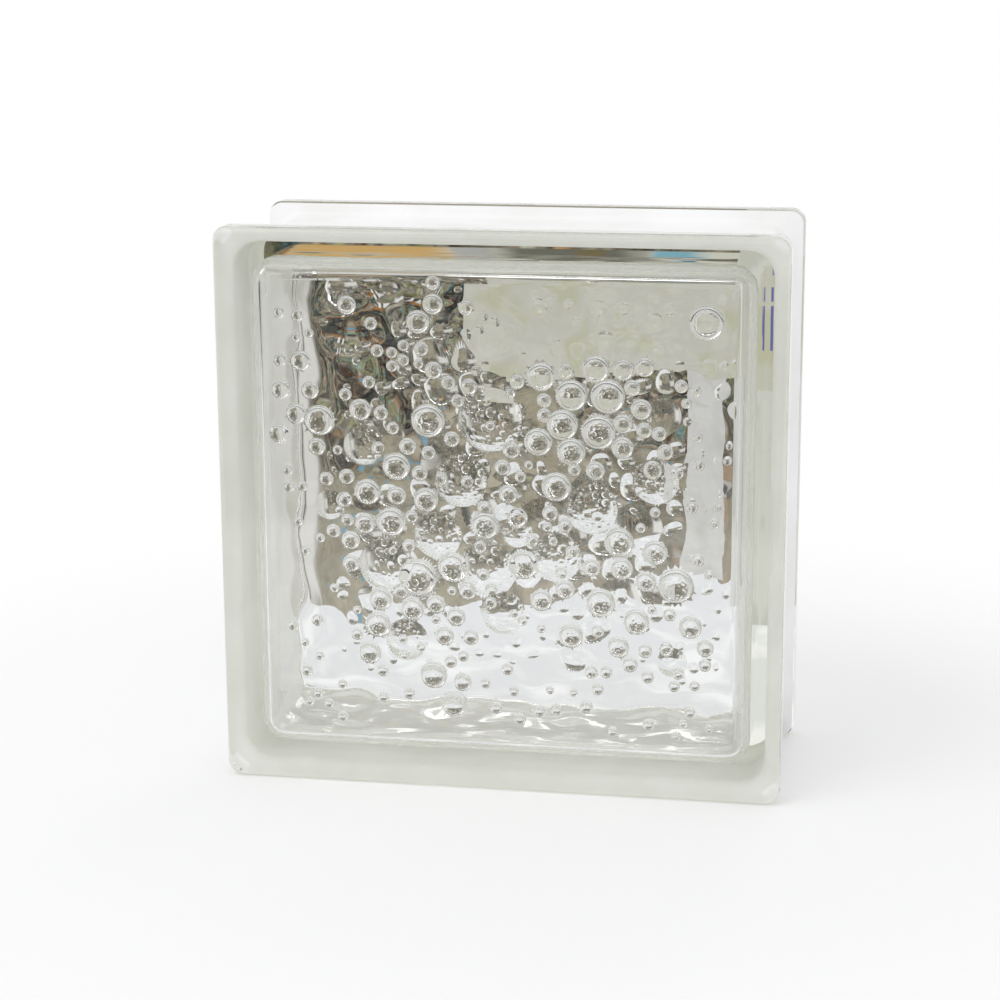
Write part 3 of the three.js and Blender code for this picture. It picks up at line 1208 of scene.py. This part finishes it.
    def dress(self, world: bpy.types.World) -> None:
        """Build the world's finish.

        Args:
            world: The world.
        """
        desk = NodeDesk(world.node_tree)
        gaze = Gaze(desk)
        gloom = desk.cloud(gaze.way, self.gloom)
        colour = desk.mix_colour(gaze.inside(self.around), self.wall, gloom)
        middle = desk.mix_colour(self.gloom_share, self.clutter(gaze), gloom, "OVERLAY")
        colour = desk.mix_colour(gaze.inside(self.near), colour, middle)
        for thing in self.things:
            colour = desk.mix_colour(gaze.on(thing, self.edge), colour, thing.colour)
        beyond_glass = desk.seen_by(Ray.TRANSMISSION)
        seen = desk.mix_colour(beyond_glass, WHITE, colour)
        lean = desk.node("VectorMath", {0: gaze.way, 1: self.through_lean}, operation="DOT_PRODUCT")
        through = desk.math("ADD", lean.outputs["Value"], self.through)
        light = desk.mix_colour(beyond_glass, (self.dull, self.dull, self.dull), through)
        shown = desk.mix_colour(desk.straight(), light, seen)
        world.node_tree.links.new(shown, world.node_tree.nodes["Background"].inputs["Color"])


@dataclass(frozen=True)
class NearCard:
    """Pale card close behind the block, which only rays through glass see.

    Attributes:
        low: Its lower left corner, across and up.
        high: Its upper right corner.
        colour: Colour of its glow.
        behind: How far behind the block's middle it stands.
        stain: Colour of its faint patches. Without one, they are a little darker than the card.
    """

    low: tuple[float, float]
    high: tuple[float, float]
    colour: Triple
    behind: float = 0.048
    stain: Triple | None = None

    FAINT = 0.96

    def material(self) -> bpy.types.Material:
        """Build the card's glow.

        Returns:
            The material.
        """
        material, desk = new_material("card")
        stain = self.stain or tuple(self.FAINT * part for part in self.colour)
        patches = Cloud(scale=55.0, detail=2.0, roughness=0.5,
                        stops=((0.52, self.colour), (0.62, stain)))
        desk.node("OutputMaterial", {"Surface": desk.glow(desk.cloud(desk.place(), patches))})
        return material

    def build(self) -> bpy.types.Object:
        """Stand the card up.

        Returns:
            The card.
        """
        (left, foot), (right, top) = self.low, self.high
        corners = ((left, foot), (right, foot), (right, top), (left, top))
        mesh = bpy.data.meshes.new("card")
        mesh.from_pydata([(x, self.behind, z) for x, z in corners], [], [(0, 1, 2, 3)])
        card = add_object("card", mesh)
        card.data.materials.append(self.material())
        for ray in ("camera", "diffuse", "glossy", "shadow"):
            setattr(card, f"visible_{ray}", False)
        return card


@dataclass(frozen=True)
class Lamp:
    """Soft oblong lamp, with its power in watts, that faces a point at the height of its aim."""

    name: str
    place: Triple
    size: tuple[float, float]
    power: float
    aim: float = 0.095

    def build(self) -> bpy.types.Object:
        """Hang the lamp.

        Returns:
            The lamp.
        """
        data = bpy.data.lights.new(self.name, "AREA")
        data.shape = "RECTANGLE"
        data.size, data.size_y = self.size
        data.energy = self.power
        lamp = add_object(self.name, data)
        lamp.location = self.place
        aim = Vector((0, 0, self.aim)) - lamp.location
        lamp.rotation_euler = aim.to_track_quat("-Z", "Y").to_euler()
        return lamp


@dataclass
class Studio:
    """Floor, lamps, world and camera round the block.

    Attributes:
        floor_drop: How far the floor lies under the block.
        camera_turn: How far the camera is turned towards -X from looking straight at the face.
        camera_dip: How far it looks down.
        lens: Its focal length in millimetres.
        cards: What stands close behind the block.
        lamps: A large soft one in front, and a small one behind for glints in the bubbles.
    """

    floor_size: float = 12.0
    floor_drop: float = 0.2 * MM
    camera_place: Triple = (0.1430, -0.8211, 0.2928)
    camera_turn: float = math.radians(10.29)
    camera_dip: float = math.radians(13.56)
    camera_roll: float = math.radians(-0.27)
    lens: float = 89.24
    cards: tuple[NearCard, ...] = (
        NearCard((-0.026, 0.129), (0.090, 0.172), (0.58, 0.57, 0.51), stain=(0.53, 0.53, 0.40)),
        NearCard((0.0535, 0.055), (0.069, 0.136), (0.63, 0.625, 0.615), stain=(0.55, 0.545, 0.52)),
        NearCard((0.0738, 0.045), (0.097, 0.190), (0.66, 0.66, 0.64), stain=(0.56, 0.56, 0.53)),
        NearCard((0.0847, 0.143), (0.0856, 0.1585), (0.15, 0.16, 0.45), 0.047),
        NearCard((0.0847, 0.160), (0.0855, 0.165), (0.15, 0.16, 0.45), 0.047),
        NearCard((0.0850, 0.169), (0.0856, 0.172), (0.25, 0.25, 0.50), 0.047),
    )
    lamps: tuple[Lamp, ...] = (
        Lamp("key", (-0.8, -0.9, 1.5), (1.2, 1.2), 5.8),
        Lamp("glint", (0.45, 2.3, 1.0), (0.5, 0.3), 1.6),
    )

    BOUNCES = {"max": 24, "transmission": 20, "glossy": 12, "diffuse": 5}

    def floor(self) -> bpy.types.Object:
        """Lay the pale floor.

        Returns:
            The floor.
        """
        bpy.ops.mesh.primitive_plane_add(size=self.floor_size, location=(0, 0, -self.floor_drop))
        floor = bpy.context.object
        floor.name = "floor"
        floor.data.materials.append(FloorFinish().material())
        return floor

    def world(self) -> None:
        """Surround the block with a white world that holds the room."""
        world = bpy.data.worlds.new("studio")
        world.use_nodes = True
        bpy.context.scene.world = world
        Room().dress(world)

    def camera(self) -> None:
        """Set the camera."""
        data = bpy.data.cameras.new("camera")
        data.lens = self.lens
        camera = add_object("camera", data)
        turn = Matrix.Rotation(self.camera_turn, 4, "Z")
        dip = Matrix.Rotation(QUARTER - self.camera_dip, 4, "X")
        roll = Matrix.Rotation(self.camera_roll, 4, "Z")
        camera.matrix_world = Matrix.Translation(self.camera_place) @ turn @ dip @ roll
        bpy.context.scene.camera = camera

    def build(self) -> None:
        """Set everything up."""
        self.floor()
        for card in self.cards:
            card.build()
        self.world()
        for lamp in self.lamps:
            lamp.build()
        self.camera()
        scene = bpy.context.scene
        scene.view_settings.view_transform = "Standard"
        scene.cycles.blur_glossy = 0.0
        for kind, count in self.BOUNCES.items():
            setattr(scene.cycles, f"{kind}_bounces", count)


def main() -> None:
    """Build the block and its stage."""
    logging.basicConfig(level=logging.INFO, format="%(message)s")
    section = TraySection()
    for piece in (GlassBody(section).build(), EdgeCoating(section).build()):
        triangles = sum(len(face.vertices) - 2 for face in piece.data.polygons)
        LOG.info("%s: %d triangles", piece.name, triangles)
    Studio().build()


if __name__ == "__main__":
    main()
